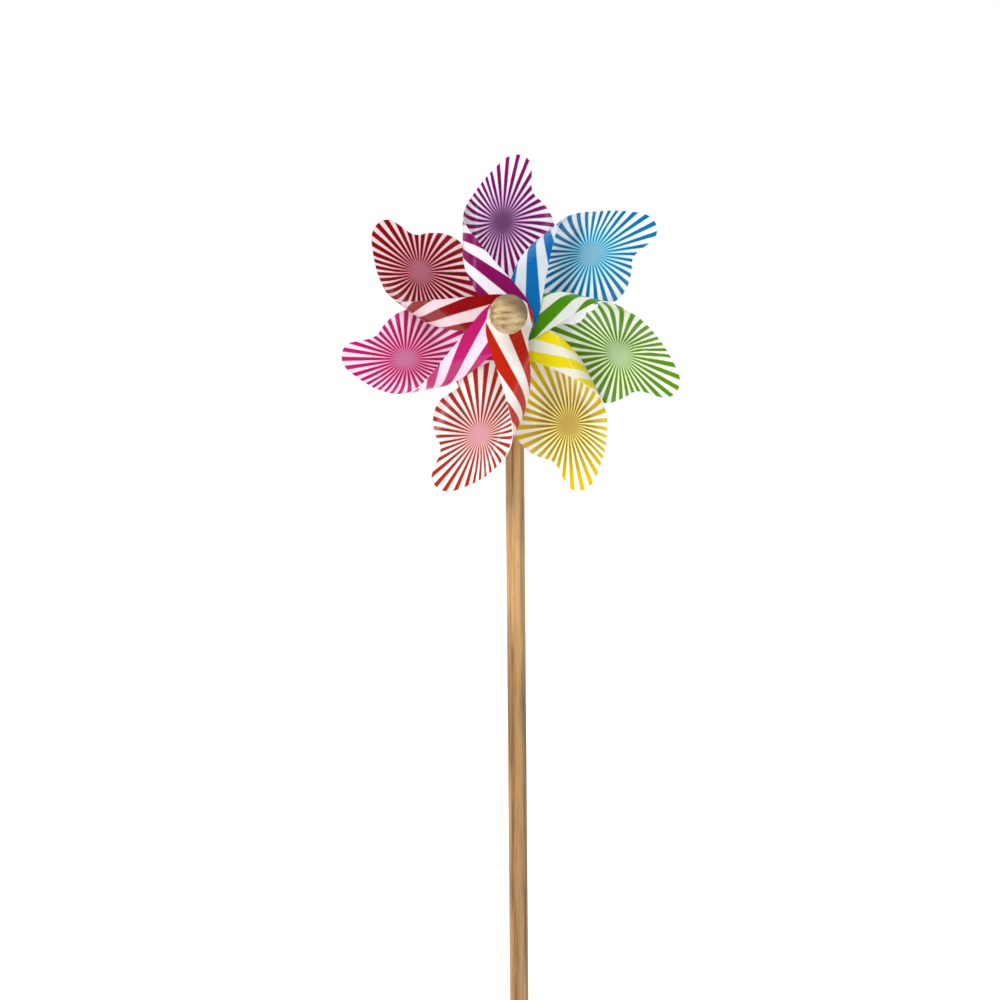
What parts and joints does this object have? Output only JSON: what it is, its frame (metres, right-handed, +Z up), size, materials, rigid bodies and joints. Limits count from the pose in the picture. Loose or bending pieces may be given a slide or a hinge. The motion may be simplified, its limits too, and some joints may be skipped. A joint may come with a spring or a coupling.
{
  "type": "wind spinner",
  "caption": "Film pinwheel on a wooden stick: printed petals curl over to a hub and turn on a steel pin behind a wooden ball.",
  "frame": {"origin": "centre of the stick's lower end face", "axes": "+Z up along the stick; the wheel faces -Y and its axle runs along Y; +X is to the right seen from the front"},
  "size_m": [0.174, 0.0675, 0.5778],
  "materials": {
    "stick_wood": "plain sanded dowel, fine lengthwise grain",
    "ball_wood": "sanded turned wood, light sheen",
    "pin_steel": "bright drawn wire",
    "hub_plastic": "moulded, satin white",
    "film_purple": "thin glossy film printed with purple rays on white",
    "film_blue": "thin glossy film printed with blue rays on white",
    "film_green": "thin glossy film printed with green rays on white",
    "film_yellow": "thin glossy film printed with yellow rays on white",
    "film_orange": "thin glossy film printed with orange rays on white",
    "film_pink": "thin glossy film printed with pink rays on white",
    "film_red": "thin glossy film printed with red rays on white"
  },
  "bodies": {
    "stand": {"stick": "stick_wood", "axle_pin": "pin_steel", "front_ball": "ball_wood"},
    "bead": {"rear_bead": "ball_wood"},
    "wheel": {"hub_core": "hub_plastic", "spacer_tube": "hub_plastic", "front_washer": "hub_plastic", "blade_purple": "film_purple", "blade_blue": "film_blue", "blade_green": "film_green", "blade_yellow": "film_yellow", "blade_orange": "film_orange", "blade_pink": "film_pink", "blade_red": "film_red"}
  },
  "joints": [
    {"name": "wheel_spin", "type": "hinge", "parent": "stand", "child": "wheel", "pos_m": [0, -0.028, 0.488], "axis": [0, 1, 0], "continuous": true},
    {"name": "bead_spin", "type": "hinge", "parent": "stand", "child": "bead", "pos_m": [0, -0.0103, 0.488], "axis": [0, 1, 0], "continuous": true}
  ]
}
